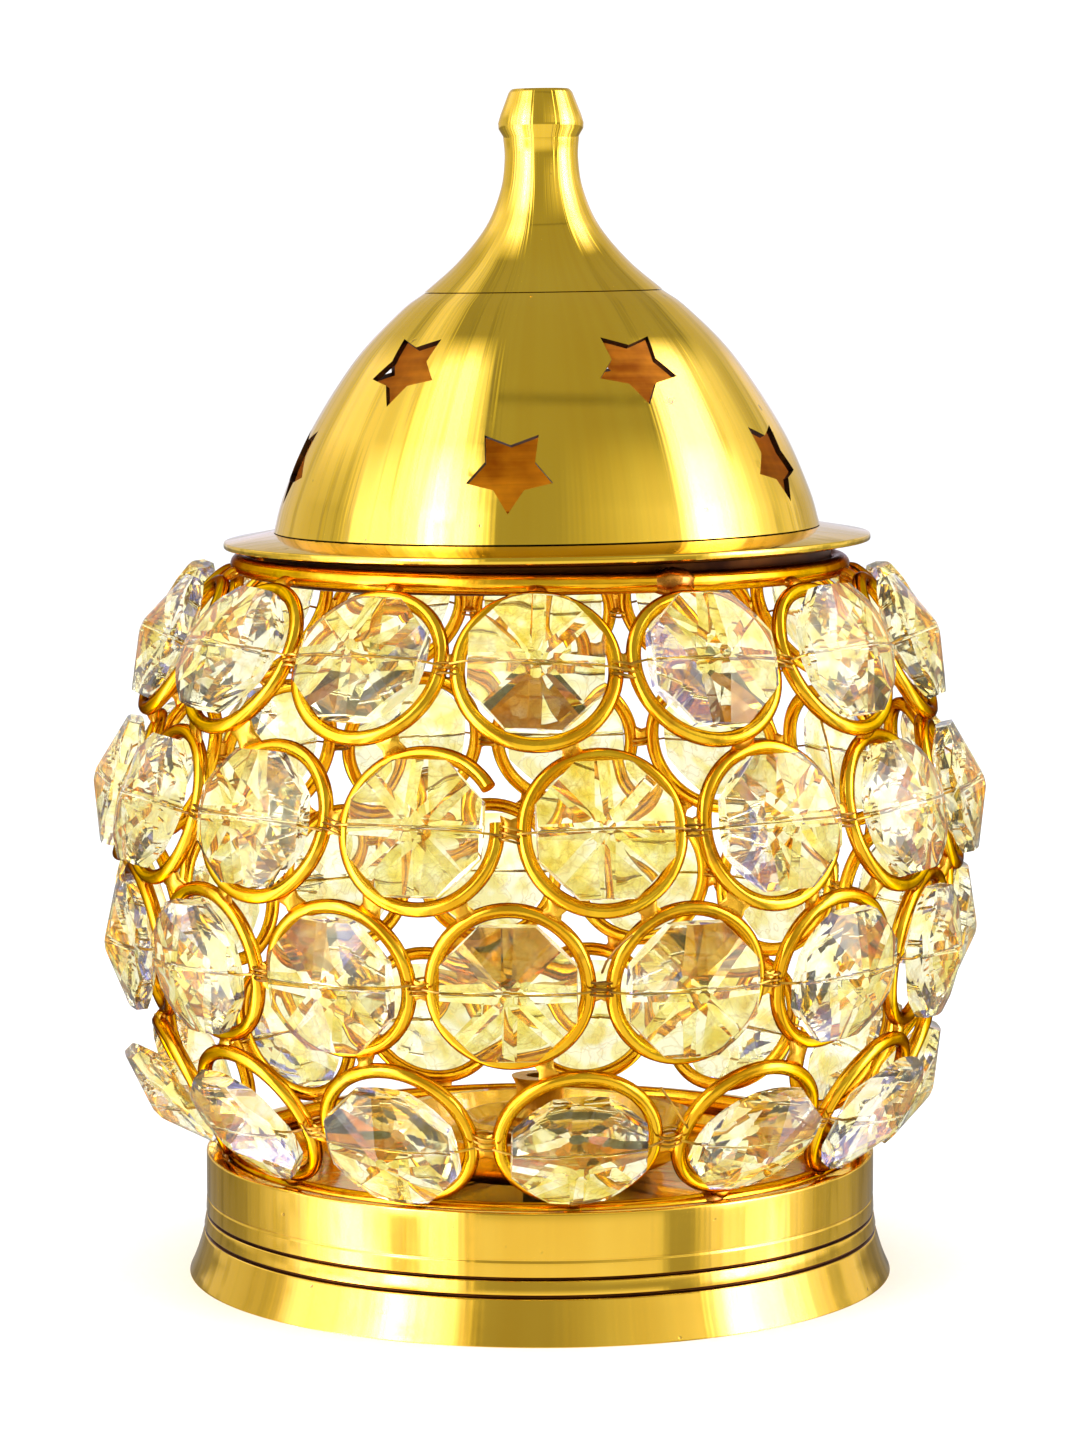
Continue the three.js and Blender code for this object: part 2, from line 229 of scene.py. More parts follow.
class Finish(Tree):
    """A material with one Principled shader."""

    def __init__(self, name, **constants):
        self.material = bpy.data.materials.new(name)
        self.material.use_nodes = True
        super().__init__(self.material.node_tree)
        self.shader = self.tree.nodes["Principled BSDF"]
        for socket, value in constants.items():
            self.shader.inputs[socket.replace("_", " ")].default_value = value
        self.place = self.node("ShaderNodeTexCoord", output="Object")

    def feed(self, socket, value):
        self.tree.links.new(value.socket, self.shader.inputs[socket])

    def noise(self, scale, detail=2.0, vector=None, roughness=0.5):
        inputs = {"Vector": vector or self.place, "Scale": scale, "Detail": detail,
                  "Roughness": roughness}
        return self.node("ShaderNodeTexNoise", None, inputs)

    def bump(self, height, distance):
        inputs = {"Strength": 1.0, "Distance": distance, "Height": height}
        self.feed("Normal", self.node("ShaderNodeBump", None, inputs))

    def mottle(self, pattern, low, high, deep, pale, dull, bright):
        """Blends two colours where a pattern goes from low to high, and its gloss with it."""
        self.feed("Base Color", self.mix_colour(self.remap(pattern, low, high), deep, pale))
        self.feed("Roughness", self.remap(pattern, 0.3, 0.7, dull, bright))

    def lathe_marks(self, per_metre):
        """Fine rings round the Z axis, drawn by noise that hardly changes along each ring."""
        x, y, height = self.split(self.place)
        radius = self.math("SQRT", x * x + y * y)
        along = self.math("ARCTAN2", y, x) * 6 / TAU
        return self.noise(1.0, 3.0, self.vector(radius * per_metre, height * per_metre, along), 0.6)

    def upright_streaks(self, density):
        """Long upright streaks, as a polishing mop leaves them."""
        x, y, height = self.split(self.place)
        angle = self.math("ARCTAN2", y, x)
        across = self.math("COSINE", angle) * density
        deep = self.math("SINE", angle) * density
        return self.noise(1.0, 3.0, self.vector(across, deep, height * density), 0.55)


def polished_brass(name, pale, deep, roughness, rings=0.2):
    """Lacquered brass off the lathe: mopped smooth, with upright streaks, faint rings and pits."""
    finish = Finish(name, Metallic=1.0, Coat_Weight=0.5, Coat_Roughness=0.05,
                    Specular_Tint=rgb(0.95, 0.80, 0.42))
    turned_rings = finish.lathe_marks(1500)
    mopped = finish.upright_streaks(9)
    patches = finish.noise(60, 3)
    smears = finish.noise(170, 4, roughness=0.65)
    pits = finish.remap(finish.noise(700, 1), 0.77, 0.81)
    tone = finish.remap(patches * 0.5 + mopped * 0.5, 0.36, 0.64)
    clean = finish.mix_colour(tone, deep, pale)
    finish.feed("Base Color", finish.mix_colour(pits * 0.7, clean, (0.30, 0.15, 0.02)))
    worn = roughness + (turned_rings - 0.5) * 0.1 * rings + pits * 0.2
    finish.feed("Roughness", worn + finish.remap(smears, 0.5, 0.8, 0, 0.07))
    height = turned_rings * rings * 0.25 + mopped * 4 + smears * 0.2 - pits * 0.8
    finish.bump(height, 0.00002)
    return finish.material


def gilt_wire():
    """Bright gilt plating over drawn wire, redder where the plating is thin."""
    # The dark edge tint darkens every wire towards its outlines: painted shade along the edges.
    finish = Finish("gilt_wire", Metallic=1.0, Specular_Tint=rgb(0.24, 0.10, 0.02))
    patches = finish.noise(220, 3)
    fine = finish.noise(1500, 2)
    thin = finish.remap(finish.noise(330, 2), 0.62, 0.72)
    tone = finish.remap(patches, 0.38, 0.66)
    plated = finish.mix_colour(tone, (0.86, 0.41, 0.008), (0.98, 0.58, 0.02))
    finish.feed("Base Color", finish.mix_colour(thin * 0.6, plated, (0.45, 0.17, 0.01)))
    finish.feed("Roughness", finish.remap(fine, 0.3, 0.75, 0.10, 0.22))
    finish.bump(patches * 0.7 + fine * 0.3, 0.00004)
    return finish.material


def solder_gilt(name, pale, deep):
    """Solder under the same plating: lumpier and duller than the wire."""
    finish = Finish(name, Metallic=1.0, Specular_Tint=rgb(0.45, 0.22, 0.06))
    lumps = finish.noise(500, 3)
    finish.mottle(lumps, 0.35, 0.65, deep, pale, 0.34, 0.2)
    finish.bump(lumps, 0.00012)
    return finish.material


def lacing_wire():
    """Thin copper-coloured wire, partly tarnished."""
    finish = Finish("lacing_wire", Metallic=1.0)
    stain = finish.noise(400, 3)
    finish.mottle(stain, 0.4, 0.62, (0.26, 0.12, 0.015), (0.78, 0.44, 0.03), 0.5, 0.25)
    return finish.material


def cut_crystal():
    """Pressed crystal: barely wavy facets, clear and golden patches, fine brown veins, smudges; the
    golden patches are painted reflection of the gilt cage.
    """
    finish = Finish("cut_crystal", Transmission_Weight=1.0, IOR=1.5, Alpha=0.96,
                    Specular_Tint=rgb(0.95, 0.95, 0.25))
    # Golden patches in the glass's colour: painted reflection of the gilt cage seen through the
    # crystal.
    painted_gold_refraction = finish.remap(finish.noise(330, 1), 0.48, 0.60)
    clear = finish.mix_colour(painted_gold_refraction, (0.93, 0.915, 0.60), (0.82, 0.70, 0.18))
    vein = finish.remap(finish.math("ABSOLUTE", finish.noise(420, 1.5) - 0.5), 0.022, 0.006)
    finish.feed("Base Color", finish.mix_colour(vein * 0.5, clear, (0.58, 0.36, 0.07)))
    finish.feed("Roughness", finish.remap(finish.noise(900, 3), 0.55, 0.85, 0.0, 0.05))
    finish.bump(finish.noise(150, 1), 0.00006)
    return finish.material


def tarnish_and_painted_shade(name, pale, deep):
    """The unpolished inside of spun brass: amber, with darker stains from smoke. Near-black, it
    also gives painted shade and the dark cut walls of the stars.
    """
    finish = Finish(name, Metallic=1.0)
    rings = finish.lathe_marks(900)
    stain = finish.noise(110, 4, roughness=0.6)
    tone = finish.remap(stain * 0.7 + rings * 0.3, 0.36, 0.64)
    finish.feed("Base Color", finish.mix_colour(tone, deep, pale))
    finish.feed("Roughness", finish.remap(stain, 0.3, 0.7, 0.5, 0.32))
    finish.bump(rings + stain * 0.5, 0.00003)
    return finish.material


def plated_steel():
    """Zinc-plated steel with a faint haze and fine scratches."""
    finish = Finish("plated_steel", Metallic=1.0)
    haze = finish.noise(600, 4)
    finish.mottle(haze, 0.35, 0.7, (0.44, 0.44, 0.43), (0.68, 0.68, 0.66), 0.45, 0.3)
    finish.bump(haze, 0.00003)
    return finish.material


def studio_paper():
    """White paper with a faint grain."""
    finish = Finish("studio_paper", Roughness=0.9)
    fibre = finish.noise(900, 3)
    finish.feed("Base Color", finish.mix_colour(fibre, (0.90, 0.90, 0.89), (0.93, 0.93, 0.92)))
    return finish.material


LID_BRASS = polished_brass("lid_brass", (0.93, 0.61, 0.030), (0.87, 0.53, 0.016), 0.06)
BASE_BRASS = polished_brass("turned_brass", (0.93, 0.57, 0.034), (0.86, 0.49, 0.016), 0.10, 0.5)
CUP_BRASS = polished_brass("cup_brass", (0.80, 0.52, 0.07), (0.66, 0.38, 0.035), 0.22, 0.8)
GILT = gilt_wire()
SOLDER = solder_gilt("solder_gilt", (0.93, 0.52, 0.03), (0.70, 0.30, 0.012))
SCORCHED = solder_gilt("scorched_solder", (0.70, 0.30, 0.03), (0.26, 0.08, 0.01))
LACING = lacing_wire()
CRYSTAL = cut_crystal()
INSIDE_BRASS = tarnish_and_painted_shade("inside_brass", (0.80, 0.34, 0.015), (0.36, 0.11, 0.004))
# Near-black brass, painted shade: in the base's grooves, under the lid's brim and inside the
# finial's opening.
SHADED_BRASS = tarnish_and_painted_shade("shaded_brass", (0.15, 0.05, 0.004), (0.03, 0.01, 0.002))
PUNCHED_EDGE = tarnish_and_painted_shade("punched_edge", (0.08, 0.03, 0.005), (0.02, 0.008, 0.002))
STEEL = plated_steel()

# ---- mesh helpers


def linked(name, data, *materials):
    """An object in the scene for a mesh, a lamp or a camera."""
    for material in materials:
        data.materials.append(material)
    made = bpy.data.objects.new(name, data)
    bpy.context.scene.collection.objects.link(made)
    return made


def mesh_object(name, vertices, faces, *materials):
    mesh = bpy.data.meshes.new(name)
    mesh.from_pydata([tuple(v) for v in vertices], [], faces)
    mesh.validate()
    return linked(name, mesh, *materials)


def finished(work, name, *materials):
    """An object for a shape that was worked on as a bmesh."""
    mesh = bpy.data.meshes.new(name)
    work.to_mesh(mesh)
    work.free()
    return linked(name, mesh, *materials)


def join(piece, other):
    """Joins another plain mesh into a piece."""
    work = bmesh.new()
    work.from_mesh(piece.data)
    work.from_mesh(other.data)
    bpy.data.objects.remove(other)
    work.to_mesh(piece.data)
    work.free()


def smooth(piece, angle=35):
    piece.data.shade_smooth()
    piece.data.set_sharp_from_angle(angle=math.radians(angle))
    return piece


def fit(piece, body, slot, *nodes):
    """The piece rides on a body and stands for its CAD nodes, which it hides. Its slot is not used.
    """
    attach(piece, body)
    if nodes:
        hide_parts(*nodes)


def circle(radius, steps, height=0.0):
    """Points round a flat circle about Z."""
    turns = [TAU * step / steps for step in range(steps)]
    return [Vector((radius * math.cos(turn), radius * math.sin(turn), height)) for turn in turns]


def through(points, steps):
    """A smooth line through (radius, height) points, as a Catmull-Rom spline."""
    first = 2 * Vector(points[0]) - Vector(points[1])
    last = 2 * Vector(points[-1]) - Vector(points[-2])
    line = [first, *map(Vector, points), last]
    result = []
    for a, b, c, d in zip(line, line[1:], line[2:], line[3:]):
        for step in range(steps):
            t = step / steps
            result.append(0.5 * (2 * b + (c - a) * t + (2 * a - 5 * b + 4 * c - d) * t * t
                                 + (3 * b - a - 3 * c + d) * t ** 3))
    result.append(Vector(points[-1]))
    return [tuple(p) for p in result]


def eased(outline, radius, steps=3):
    """Rounds each corner of a closed outline that turns sharply, with a small arc."""
    result = []
    count = len(outline)
    for index in range(count):
        before, here, after = (Vector(outline[(index + k) % count]) for k in (-1, 0, 1))
        back = before - here
        ahead = after - here
        turn = math.pi - back.angle(ahead)
        reach = min(radius, back.length * 0.45, ahead.length * 0.45)
        if turn < math.radians(25):
            result.append(tuple(here))
            continue
        start = here + back.normalized() * reach
        end = here + ahead.normalized() * reach
        for step in range(steps + 1):
            t = step / steps
            result.append(tuple(start * (1 - t) ** 2 + here * 2 * t * (1 - t) + end * t * t))
    return result


def turned(name, outline, material, segments=240):
    """A body of revolution about Z from a closed outline of (radius, height) points in mm."""
    vertices = []
    rings = []
    for radius, height in outline:
        if radius < 1e-6:
            rings.append([len(vertices)] * segments)
            vertices.append((0, 0, height * MM))
            continue
        rings.append(range(len(vertices), len(vertices) + segments))
        vertices += circle(radius * MM, segments, height * MM)
    faces = []
    for low, high in zip(rings, [*rings[1:], rings[0]]):
        for step in range(segments):
            after = (step + 1) % segments
            face = list(dict.fromkeys([low[step], low[after], high[after], high[step]]))
            if len(face) > 2:
                faces.append(face)
    made = mesh_object(name, vertices, faces, material)
    outward(made)
    return smooth(made)


def outward(piece):
    """Merges doubled vertices and points every face of a closed mesh outwards."""
    shape = bmesh.new()
    shape.from_mesh(piece.data)
    bmesh.ops.remove_doubles(shape, verts=shape.verts, dist=1e-7)
    bmesh.ops.recalc_face_normals(shape, faces=shape.faces)
    shape.to_mesh(piece.data)
    shape.free()


def paint(piece, material, chosen):
    """Gives another finish to the faces whose middle (radius, height) in mm is chosen."""
    piece.data.materials.append(material)
    for face in piece.data.polygons:
        if chosen(math.hypot(face.center.x, face.center.y) / MM, face.center.z / MM):
            face.material_index = len(piece.data.materials) - 1


def band(low, high, sides):
    """The faces between two rings of vertices, which start at low and at high."""
    turns = [(side, (side + 1) % sides) for side in range(sides)]
    return [[low + a, low + b, high + b, high + a] for a, b in turns]


def tube_mesh(path, radius, sides, closed=False):
    """The vertices and faces of a round tube along a path, with its ends closed off."""
    points = [Vector(p) for p in path]
    count = len(points)
    vertices = []
    faces = []
    normal = None
    for index, here in enumerate(points):
        before = points[index - 1] if index or closed else here
        after = points[(index + 1) % count] if index < count - 1 or closed else here
        along = (after - before).normalized()
        if normal is None:
            normal = along.orthogonal().normalized()
        normal = (normal - along * normal.dot(along)).normalized()
        other = along.cross(normal)
        for side in range(sides):
            angle = TAU * side / sides
            vertices.append(here + (normal * math.cos(angle) + other * math.sin(angle)) * radius)
    for index in range(count if closed else count - 1):
        faces += band(index * sides, (index + 1) % count * sides, sides)
    if not closed:
        faces.append(list(range(sides))[::-1])
        faces.append([(count - 1) * sides + side for side in range(sides)])
    return vertices, faces


def merged(parts):
    """Joins several (vertices, faces) lists into one."""
    vertices = []
    faces = []
    for some, their_faces in parts:
        start = len(vertices)
        vertices.extend(some)
        faces.extend([[start + v for v in face] for face in their_faces])
    return vertices, faces


# ---- base and cup


BASE_FOOT_R = radius_of("base_stand")


def base_radius(height):
    """The base's outside at a height: an upright wall over a flared foot."""
    flare = max(0.0, 1 - height / BASE_FLARE_TOP)
    return BASE_WALL_R + (BASE_FOOT_R - BASE_WALL_R) * flare * flare


def base_stand():
    rim = top_of("base_stand")
    flare = [(base_radius(height), height) for height in (0, 1, 2, 3.2)]
    grooves = []
    for height, depth, half in BASE_GROOVES:
        radius = base_radius(height)
        grooves += [(radius, height - half), (radius - depth, height - half * 0.3),
                    (radius - depth, height + half * 0.3), (radius, height + half)]
    wall = [(BASE_WALL_R, 10.8), (BASE_WALL_R, rim), (BASE_WALL_R - BASE_WALL, rim),
            (BASE_WALL_R - BASE_WALL, BASE_LEDGE), (31, BASE_LEDGE)]
    floor = [(30.1, BASE_FLOOR + 0.2), (29.3, BASE_FLOOR), (SCREW_HOLE_R, BASE_FLOOR),
             (SCREW_HOLE_R, BASE_UNDERSIDE), (32.4, BASE_UNDERSIDE), (34.0, 7.4), (35.7, 0)]
    outline = eased([*flare, *grooves, *wall, *floor], 0.25)
    made = turned("base_turned", outline, BASE_BRASS, 288)

    def in_a_groove(radius, height):
        return 4 < height < 8 and 35.8 < radius < base_radius(height) - 0.12

    # The faces inside the grooves get near-black brass: painted shade in the recesses.
    paint(made, SHADED_BRASS, in_a_groove)
    fit(made, "base", "turned_brass", "base_stand")


def burner_cup():
    foot = foot_of("burner_cup")
    rim = top_of("burner_cup")
    rim_r = radius_of("burner_cup")
    floor = foot + CUP_FLOOR
    bowl = through([(CUP_FLOOR_R, foot), (rim_r - 1.8, foot + 1.7), (rim_r, rim)], 8)
    inside = through([(rim_r - 1.1, rim), (rim_r - 2.6, floor + 1.2), (CUP_FLOOR_R, floor)], 8)
    boss = [(CUP_BOSS_R + 0.6, floor), (CUP_BOSS_R, CUP_BOSS_TOP), (0, CUP_BOSS_TOP)]
    screw_hole = [(0, CUP_BOSS_TOP - 0.9), (2.1, CUP_BOSS_TOP - 0.9), (2.1, foot)]
    made = turned("cup_bowl", [*screw_hole, *bowl, *inside, *boss], CUP_BRASS, 160)
    fit(made, "base", "cup_brass", "burner_cup")


def incense_holder():
    low = foot_of("holder_tray")
    rim = radius_of("holder_tray")
    tray = [(rim - 2, low), (rim, low + 1.6), (rim - 0.8, low + 2.2), (rim - 2.2, low + 1),
            (2.9, low + 1), (2.9, low)]
    dish = turned("holder_dish", eased(tray, 0.3), CUP_BRASS, 120)
    fit(dish, "holder", "cup_brass", "holder_tray")
    top = top_of("holder_tube")
    stem = [(0, low), (2.6, low), (2.6, low + 1.3), (3.8, low + 1.3), (3.8, low + 2.3),
            (2.6, low + 3.1), (2.6, top - 1), (3.1, top), (1.5, top), (1.5, low + 2), (0, low + 2)]
    fit(turned("holder_socket", stem, CUP_BRASS, 64), "holder", "cup_brass", "holder_tube")


def fixings():
    """The screw and washer keep their CAD shape and get their plating."""
    for node in ("cup_screw", "cup_washer"):
        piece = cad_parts[node]
        piece.data.materials.clear()
        piece.data.materials.append(STEEL)


# ---- rows, placed by geometry nodes


def row_tree(name, material):
    """Places the incoming shape round a row: X runs round it, Y up along it, Z outwards."""
    group = bpy.data.node_groups.new(name, "GeometryNodeTree")
    interface = group.interface
    interface.new_socket("Shape", in_out="INPUT", socket_type="NodeSocketGeometry")
    for label in ("Radius", "Height", "Lean", "Phase", "Pitch", "Offset", "Turn", "Spread", "Sway",
                  "Odd"):
        interface.new_socket(label, in_out="INPUT", socket_type="NodeSocketFloat")
    for label in ("Count", "Skip", "Seed"):
        interface.new_socket(label, in_out="INPUT", socket_type="NodeSocketInt")
    interface.new_socket("Shape", in_out="OUTPUT", socket_type="NodeSocketGeometry")
    tree = Tree(group)
    source = group.nodes.new("NodeGroupInput")
    given = {socket.name: Value(tree, socket) for socket in source.outputs if socket.name}

    def random(low, high, salt):
        inputs = {2: low, 3: high, "ID": index, "Seed": given["Seed"] + salt}
        return tree.node("FunctionNodeRandomValue", {"data_type": "FLOAT"}, inputs, 1)

    index = tree.node("GeometryNodeInputIndex")
    azimuth = given["Phase"] + index * given["Pitch"]
    lean = given["Lean"]
    distance = given["Radius"] + given["Offset"] * tree.math("COSINE", lean)
    x = distance * tree.math("SINE", azimuth)
    y = 0 - distance * tree.math("COSINE", azimuth)
    z = given["Height"] + given["Offset"] * tree.math("SINE", lean)
    place = tree.vector(x, y, z)
    tilt = given["Turn"] + given["Spread"] * random(-1.0, 1.0, 0)
    sway = given["Sway"] * random(-1.0, 1.0, 11)
    turn = tree.vector(math.pi / 2 - lean + tilt, sway, azimuth)
    wide = 1 + given["Odd"] * random(-1.0, 1.0, 23)
    tall = 1 + given["Odd"] * random(-1.0, 1.0, 37)
    size = tree.vector(wide, tall, 1.0)
    spots = tree.node("GeometryNodePoints", None, {"Count": given["Count"], "Position": place})
    kept = tree.node("FunctionNodeCompare", {"data_type": "INT", "operation": "NOT_EQUAL"},
                     {2: index, 3: given["Skip"]})
    inputs = {"Points": spots, "Selection": kept, "Instance": given["Shape"], "Rotation": turn,
              "Scale": size}
    copies = tree.node("GeometryNodeInstanceOnPoints", None, inputs)
    solid = tree.node("GeometryNodeRealizeInstances", None, {0: copies})
    inputs = {"Geometry": solid, "Material": material}
    coated = tree.node("GeometryNodeSetMaterial", None, inputs)
    sink = group.nodes.new("NodeGroupOutput")
    group.links.new(coated.socket, sink.inputs[0])
    return group


def run_tree(host, group, values):
    """Runs a geometry tree on a host object and leaves its plain result in the host."""
    modifier = host.modifiers.new("rule", "NODES")
    modifier.node_group = group
    for item in group.interface.items_tree:
        if item.in_out == "INPUT" and item.name in values:
            modifier[item.identifier] = values[item.name]
    evaluated = host.evaluated_get(bpy.context.evaluated_depsgraph_get())
    result = bpy.data.meshes.new_from_object(evaluated)
    host.modifiers.remove(modifier)
    host.data = result


def row_values(row, first=0, **others):
    """The inputs that place shapes along a row, from the ring with index first."""
    pitch = TAU / row["count"]
    return {
        "Radius": row["radius"] * MM, "Height": row["height"] * MM,
        "Lean": math.radians(row["lean"]), "Pitch": pitch,
        "Phase": math.radians(row["phase"]) + pitch * first,
        "Offset": 0.0, "Turn": 0.0, "Spread": 0.0, "Sway": 0.0, "Odd": 0.0,
        "Count": row["count"], "Skip": -1, "Seed": row["seed"], **others,
    }


# ---- cage


def plain_ring():
    return tube_mesh(circle(RING_R * MM, 64), RING_WIRE_R * MM, 14, closed=True)


def sprung_ring():
    """A ring whose ends have come apart and bent a little outwards."""
    steps = 59
    bent = 9                # steps over which the end is bent
    path = []
    for step in range(steps + 1):
        turn = math.radians(34 + 334 * step / steps)
        sprung = max(0, (bent - step) / bent)
        reach = RING_R + 0.3 * sprung
        spot = (reach * math.cos(turn), reach * math.sin(turn), 0.5 * sprung ** 2)
        path.append(Vector(spot) * MM)
    return tube_mesh(path, RING_WIRE_R * MM, 14)


def ring_frame(row, index):
    """The place of one ring: X round the row, Y up along it, Z outwards."""
    azimuth = math.radians(row["phase"] + index * 360 / row["count"])
    back = math.pi / 2 - math.radians(row["lean"])
    spot = Vector((row["radius"] * math.sin(azimuth), -row["radius"] * math.cos(azimuth),
                   row["height"])) * MM
    turn = Matrix.Rotation(azimuth, 4, "Z") @ Matrix.Rotation(back, 4, "X")
    return Matrix.Translation(spot) @ turn


def ring_rows():
    group = row_tree("rings_round_a_row", GILT)
    for number, row in enumerate(ROWS):
        skip = OPEN_RING[1] if number == OPEN_RING[0] else -1
        host = mesh_object(f"wire_rings_{number + 1}", *plain_ring(), GILT)
        run_tree(host, group, row_values(row, Skip=skip, Spread=math.radians(2.5),
                                         Sway=math.radians(2), Odd=0.012))
        if skip >= 0:
            sprung = mesh_object("sprung_ring", *sprung_ring())
            sprung.data.transform(ring_frame(row, skip))
            join(host, sprung)
        fit(smooth(host, 60), "cage", "gilt_wire", f"ring_row_{number + 1}")


def crystal_shape():
    """An octagonal bead cut by planes: eight broad fans a side, with a thin strip between each two
    that widens outwards, a small table in the middle, and the bore for the wire."""
    peak = CRYSTAL_GIRDLE + CRYSTAL_R * CRYSTAL_SLOPE
    strip = peak - 0.07
    table = peak - 0.28
    planes = []
    for step in range(8):
        side = TAU * step / 8
        corner = side + TAU / 16
        across = Vector((math.cos(side), math.sin(side), 0))
        to_corner = Vector((math.cos(corner), math.sin(corner), 0))
        planes.append((across * CRYSTAL_R * math.cos(TAU / 16), across))
        for up in (1, -1):
            rise = Vector((0, 0, up))
            planes.append((to_corner * CRYSTAL_R + rise * CRYSTAL_GIRDLE,
                           to_corner * CRYSTAL_SLOPE + rise))
            planes.append((rise * strip, across * CRYSTAL_SLOPE * 0.93 + rise))
    planes += [(Vector((0, 0, up * table)), Vector((0, 0, up))) for up in (1, -1)]
    work = bmesh.new()
    bmesh.ops.create_cube(work, size=30)      # the block that it is cut from
    for spot, direction in planes:
        everything = [*work.verts, *work.edges, *work.faces]
        cut = bmesh.ops.bisect_plane(work, geom=everything, plane_co=spot, plane_no=direction,
                                     dist=1e-5, clear_outer=True)
        edges = [e for e in cut["geom_cut"] if isinstance(e, bmesh.types.BMEdge)]
        if len(edges) > 2:
            bmesh.ops.contextual_create(work, geom=edges)
    bmesh.ops.remove_doubles(work, verts=work.verts, dist=1e-4)
    bmesh.ops.recalc_face_normals(work, faces=work.faces)
    bmesh.ops.scale(work, vec=(MM, MM, MM), verts=work.verts)
    return drilled(finished(work, "crystal_bead"))


def drilled(bead):
    """The bead's mesh with a bore from edge to edge."""
    reach = (CRYSTAL_R + 1) * MM
    bore = mesh_object("bore", *tube_mesh([(-reach, 0, 0), (reach, 0, 0)], CRYSTAL_BORE_R * MM, 10))
    outward(bore)
    cutter = bead.modifiers.new("bore", "BOOLEAN")
    cutter.operation = "DIFFERENCE"
    cutter.solver = "EXACT"
    cutter.object = bore
    evaluated = bead.evaluated_get(bpy.context.evaluated_depsgraph_get())
    result = bpy.data.meshes.new_from_object(evaluated)
    for helper in (bead, bore):
        bpy.data.objects.remove(helper)
    return result


def crystal_rows():
    """Each row's crystals in lengths of about three, as they are threaded on the wire."""
    group = row_tree("crystals_round_a_row", CRYSTAL)
    bead = crystal_shape()
    for number, row in enumerate(ROWS):
        lengths = math.ceil(row["count"] / 3)
        share = row["count"] / lengths
        starts = [math.floor(share * length + 0.5) for length in range(lengths + 1)]
        for length, (first, after) in enumerate(zip(starts, starts[1:])):
            host = linked(f"crystals_{number + 1}_{length + 1}", bead.copy())
            values = row_values(row, first, Count=after - first, Offset=CRYSTAL_OFFSET * MM,
                                Turn=math.radians(row["turn"]), Spread=math.radians(row["spread"]),
                                Sway=math.radians(3), Seed=row["seed"] + 7 * length)
            run_tree(host, group, values)
            fit(host, "cage", "crystal", f"crystals_row_{number + 1}_{length + 1}")


def through_wire():
    """The straight length of lacing wire that runs through one crystal and out at both sides."""
    reach = 8.6 * MM
    bow = 0.9 * MM
    path = []
    for step in range(13):
        t = step / 6 - 1
        outside = max(0, abs(t) - 0.74) / 0.26
        path.append((t * reach, 0, -bow * outside * outside))
    return tube_mesh(path, LACING_R * MM, 6)


def joint_coil():
    """Two and a half turns of lacing wire round the joint between two rings."""
    steps = 50
    path = []
    for step in range(steps + 1):
        turn = TAU * 2.6 * step / steps
        climb = (step / steps - 0.5) * 1.5
        path.append(Vector((1.35 * math.cos(turn), climb, math.sin(turn))) * MM)
    return tube_mesh(path, LACING_R * MM, 6)


def lacing():
    group = row_tree("lacing_round_a_row", LACING)
    for number, row in enumerate(ROWS):
        wires = mesh_object(f"lacing_{number + 1}", *through_wire(), LACING)
        run_tree(wires, group, row_values(row, Offset=CRYSTAL_OFFSET * MM, Sway=math.radians(3)))
        half = math.pi / row["count"]
        joint_radius = (row["radius"] * math.cos(half) + (RING_R + 0.5) * math.sin(half)) * MM
        coils = mesh_object("coils", *joint_coil(), LACING)
        run_tree(coils, group, row_values(row, 0.5, Radius=joint_radius, Spread=math.radians(14),
                                          Sway=math.radians(14), Odd=0.08))
        join(wires, coils)
        fit(smooth(wires, 60), "cage", "gilt_wire")


def solder_shape(gap, reach):
    """A fillet of solder between two round wires, X across the gap and Y along it. It widens
    with the gap, and its ends are hollow."""
    sides = 12
    steps = 10
    vertices = []
    faces = []
    for step in range(steps + 1):
        t = 2 * step / steps - 1
        y = reach * t
        half_width = gap / 2 + y * y / (2 * RING_R) + 0.45
        half_depth = 0.6 * (1 - 0.55 * t * t)
        for side in range(sides):
            angle = TAU * side / sides
            sink = 0.45 * (1 - abs(math.cos(angle))) * t * abs(t)
            spot = (half_width * math.cos(angle), y - sink, half_depth * math.sin(angle))
            vertices.append(Vector(spot) * MM)
    for step in range(steps):
        faces += band(step * sides, (step + 1) * sides, sides)
    for end, sign in ((0, -1), (steps, 1)):
        hub = len(vertices)
        vertices.append(Vector((0, sign * (reach - 1), 0)) * MM)
        for side in range(sides):
            face = [end * sides + side, end * sides + (side + 1) % sides, hub]
            faces.append(face if sign > 0 else face[::-1])
    return vertices, faces


def closest(first, second):
    """The distance between two lists of points, and the index of the nearest in each."""
    return min(((a - b).length, i, j) for i, a in enumerate(first) for j, b in enumerate(second))


def hoop_size(node):
    """The outer radius of a hoop, half of its wire's thickness, and its height."""
    low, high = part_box(node)
    return (high.x - low.x) / 2, (high.z - low.z) / 2, (low.z + high.z) / 2


def ring_pairs(rings):
    """The rings that may touch: neighbours in a row, then those of the row below."""
    for number, row in enumerate(rings):
        for index, ring in enumerate(row):
            yield ring, row[(index + 1) % len(row)]
        if number + 1 < len(rings):
            for above in row:
                for below in rings[number + 1]:
                    if closest(above[::6], below[::6])[0] < NEIGHBOUR_GAP * MM:
                        yield above, below


